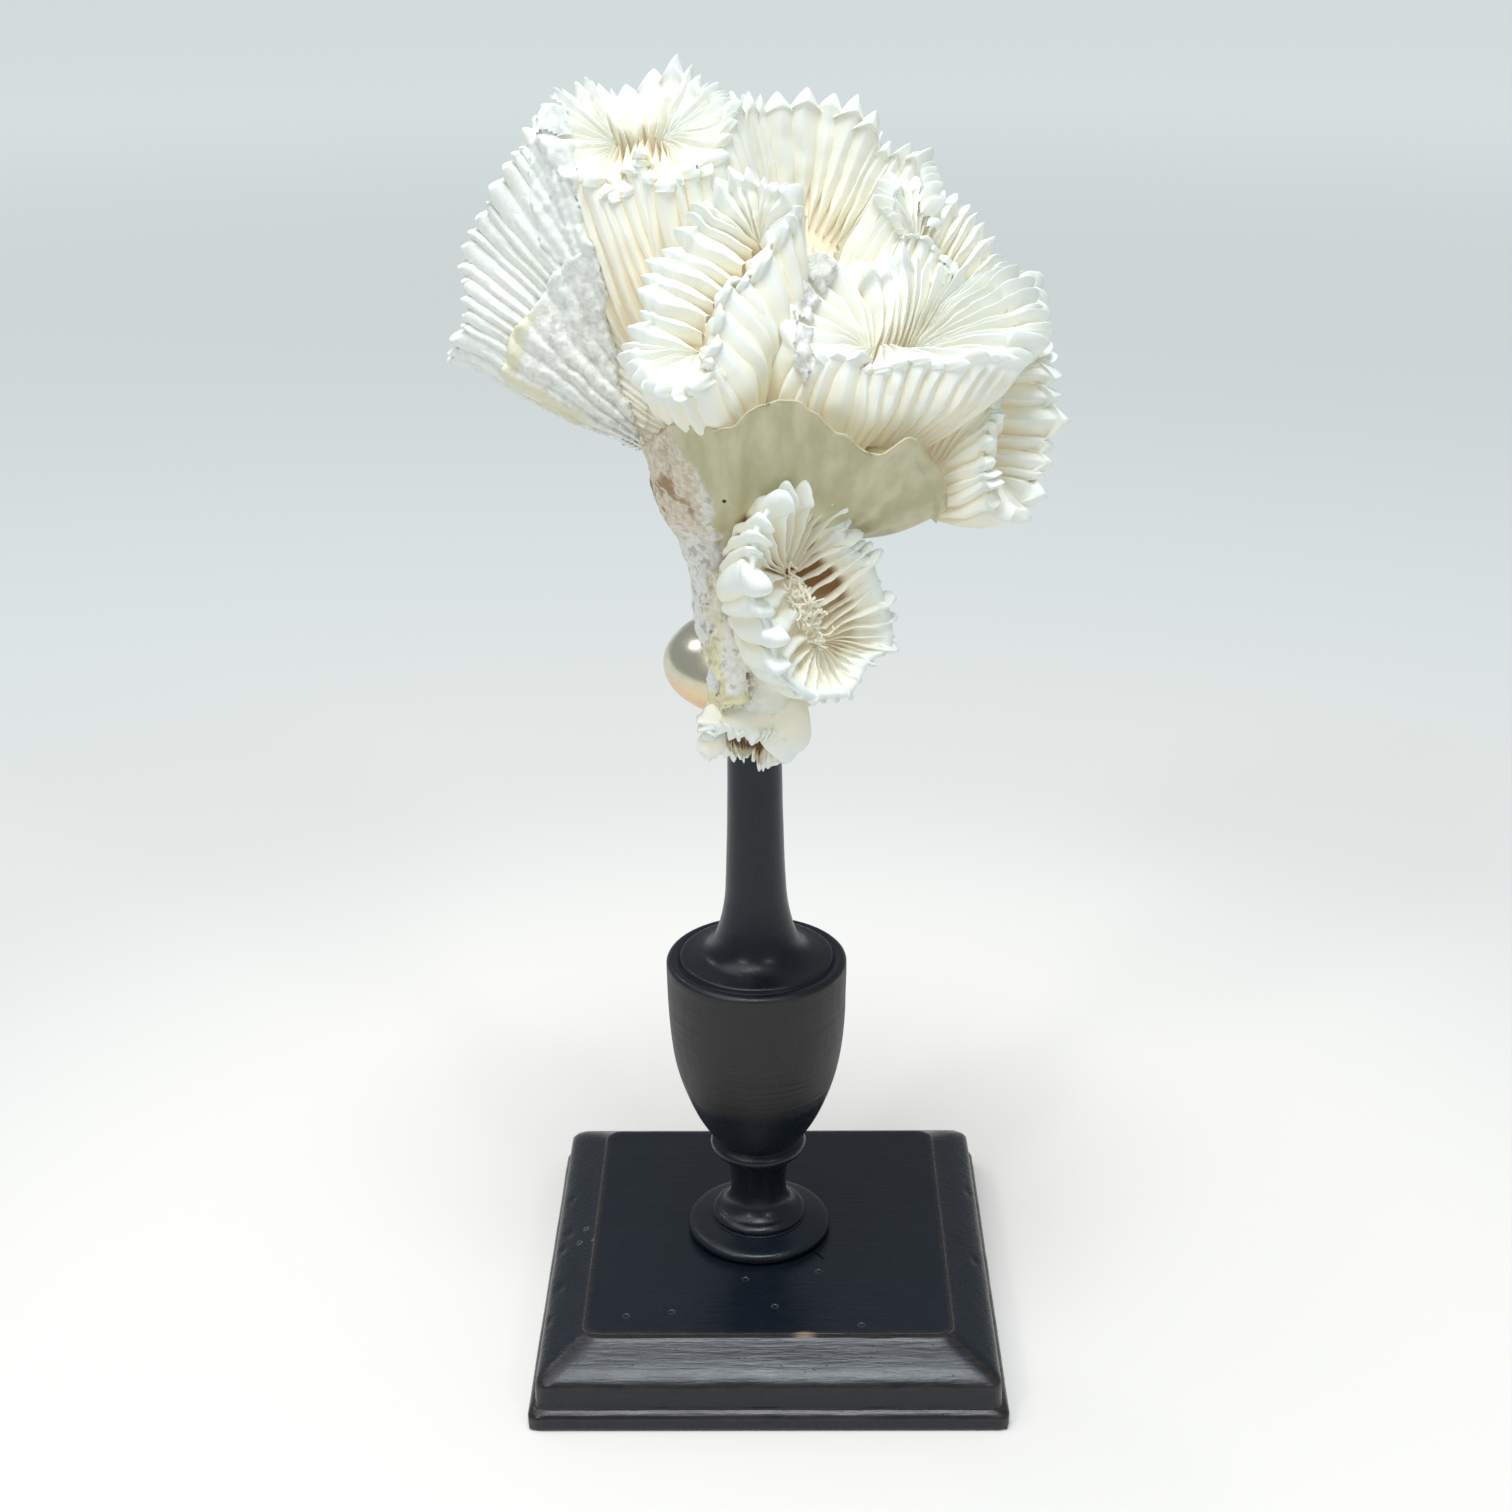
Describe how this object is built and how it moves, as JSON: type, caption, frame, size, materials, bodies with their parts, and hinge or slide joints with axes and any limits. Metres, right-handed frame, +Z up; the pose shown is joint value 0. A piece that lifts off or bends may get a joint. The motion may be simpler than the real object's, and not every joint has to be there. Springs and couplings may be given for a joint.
{
  "type": "mounted flower coral on a turned wooden stand",
  "caption": "Dried flower coral, a crown of frilled ribbed heads on a short stalk, held upright by a brass knop on a turned blackened wooden column with a moulded square foot.",
  "frame": {"origin": "middle of the plinth's flat underside", "axes": "+Z up, +X to the right and +Y away from the viewer of the picture, with the plinth's sides along X and Y"},
  "size_m": [0.1307, 0.11, 0.2945],
  "materials": {
    "blackened_wood": "black stain under worn satin wax, brown at the edges",
    "brass": "polished, lightly tarnished",
    "coral_white": "bleached coral skeleton, matt with glassy tips, cream in the recesses",
    "coral_sheath": "smooth olive-beige outer sheath, crusted stalk"
  },
  "bodies": {
    "root": {"stand_plinth": "blackened_wood", "stand_column": "blackened_wood", "brass_knop": "brass", "coral_trunk": "coral_sheath", "coral_centre_head": "coral_white", "coral_right_head": "coral_white", "coral_far_right_head": "coral_white", "coral_right_back_head": "coral_white", "coral_top_right_head": "coral_white", "coral_top_left_head": "coral_white", "coral_left_fan": "coral_white", "coral_front_cup": "coral_white", "coral_bottom_cup": "coral_white"}
  },
  "joints": []
}
